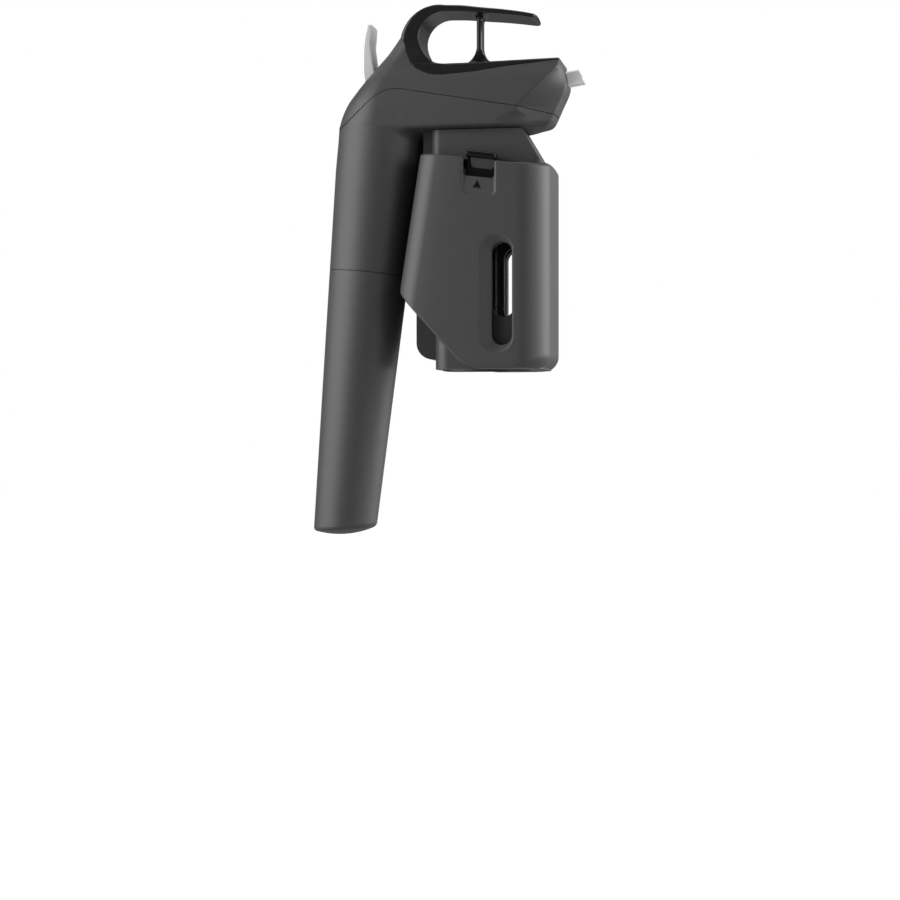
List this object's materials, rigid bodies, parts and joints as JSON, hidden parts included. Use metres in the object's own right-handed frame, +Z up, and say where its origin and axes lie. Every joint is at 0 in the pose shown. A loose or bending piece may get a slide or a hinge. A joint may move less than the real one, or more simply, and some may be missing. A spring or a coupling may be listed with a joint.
{
  "type": "wine preservation dispenser",
  "caption": "Hand-held dispenser that clamps on a bottle neck, pierces the cork with a needle and pours through a spout while gas from a capsule keeps the drink.",
  "frame": {"origin": "on the axis of the bottle's neck, at mid height of the clamp's grip", "axes": "+Z up along the neck, +X towards the spout, +Y to the left side; the handle is at -X"},
  "size_m": [0.1163, 0.052, 0.2238],
  "materials": {
    "body_grey": "fine matte moulded surface",
    "gloss_black": "glossy moulded surface",
    "rail_black": "satin moulded surface",
    "soft_black": "matte elastomer",
    "glide_white": "slippery bearing plastic",
    "tube_white": "smooth flexible tube",
    "steel": "bright stainless steel",
    "spout_steel": "satin stainless steel",
    "satin_metal": "satin cast metal",
    "alloy": "machined",
    "brass": "turned",
    "capsule_steel": "plated steel"
  },
  "bodies": {
    "base": {"base_frame": "body_grey", "side_cover_right": "body_grey", "side_cover_left": "body_grey", "needle_guide": "soft_black", "lip_gasket": "soft_black", "rail_glides": "glide_white", "clamp_pins": "steel", "latch_spring_right": "steel", "latch_spring_left": "steel"},
    "clamp_right": {"clamp_arm_right": "rail_black", "clamp_pad_right": "soft_black", "clamp_spring_right": "steel"},
    "clamp_left": {"clamp_arm_left": "rail_black", "clamp_pad_left": "soft_black", "clamp_spring_left": "steel"},
    "latch_r": {"latch_right": "gloss_black"},
    "latch_l": {"latch_left": "gloss_black"},
    "head": {"lower_shell": "body_grey", "top_cover": "body_grey", "handle_loop": "gloss_black", "slide_rail": "rail_black", "rail_screws": "steel", "shell_screws": "steel", "spout": "spout_steel", "wine_tube": "tube_white", "gas_tube": "tube_white", "valve_body": "alloy", "valve_screws": "steel", "valve_spring": "steel", "needle": "steel", "needle_nut": "steel", "needle_seal": "soft_black", "trigger_pin": "steel", "regulator_body": "alloy", "regulator_cap": "brass", "piercing_pin": "steel", "pierce_seal": "soft_black"},
    "lever": {"trigger": "satin_metal"},
    "plunger": {"valve_plunger": "brass", "plunger_seal": "soft_black"},
    "reg_piston": {"regulator_piston": "brass", "piston_seal": "soft_black", "regulator_spring": "steel"},
    "capsule": {"gas_capsule": "capsule_steel"},
    "cup": {"capsule_cup": "body_grey", "cup_thread_ring": "alloy"}
  },
  "joints": [
    {"name": "head_slide", "type": "slide", "parent": "base", "child": "head", "axis": [0, 0, 1], "range_m": [0, 0.065]},
    {"name": "clamp_hinge_right", "type": "hinge", "parent": "base", "child": "clamp_right", "pos_m": [0, -0.0204, 0.058], "axis": [-1, 0, 0], "range_deg": [0, 2.5]},
    {"name": "clamp_hinge_left", "type": "hinge", "parent": "base", "child": "clamp_left", "pos_m": [0, 0.0204, 0.058], "axis": [1, 0, 0], "range_deg": [0, 2.5]},
    {"name": "latch_slide_right", "type": "slide", "parent": "base", "child": "latch_r", "axis": [0, 0, 1], "range_m": [0, 0.003], "stiffness_N_per_m": 400, "springref_m": -0.002, "deforming": ["latch_spring_right"]},
    {"name": "latch_slide_left", "type": "slide", "parent": "base", "child": "latch_l", "axis": [0, 0, 1], "range_m": [0, 0.003], "stiffness_N_per_m": 400, "springref_m": -0.002, "deforming": ["latch_spring_left"]},
    {"name": "trigger_hinge", "type": "hinge", "parent": "head", "child": "lever", "pos_m": [-0.048, 0, 0.104], "axis": [0, 1, 0], "range_deg": [0, 8], "stiffness_Nm_per_rad": 1.2, "springref_deg": -6.88},
    {"name": "plunger_slide", "type": "slide", "parent": "head", "child": "plunger", "axis": [0, 0, -1], "range_m": [0, 0.00413], "stiffness_N_per_m": 600, "springref_m": -0.002, "deforming": ["valve_spring"]},
    {"name": "regulator_slide", "type": "slide", "parent": "head", "child": "reg_piston", "axis": [0.0962, 0, 0.9954], "range_m": [0, 0.0008], "stiffness_N_per_m": 4000},
    {"name": "capsule_slide", "type": "slide", "parent": "head", "child": "capsule", "axis": [-0.0962, 0, -0.9954], "range_m": [0, 0.009]},
    {"name": "cup_turn", "type": "hinge", "parent": "capsule", "child": "cup", "pos_m": [-0.05465, 0, 0.031], "axis": [-0.0962, 0, -0.9954], "range_deg": [0, 1080]}
  ],
  "couplings": [
    {"joint": "clamp_hinge_right", "follows": "head_slide", "rad_per_m": 0.67128},
    {"joint": "clamp_hinge_left", "follows": "head_slide", "rad_per_m": 0.67128},
    {"joint": "trigger_hinge", "follows": "plunger_slide", "rad_per_m": 33.78},
    {"joint": "cup_turn", "follows": "capsule_slide", "rad_per_m": 2094.4}
  ]
}
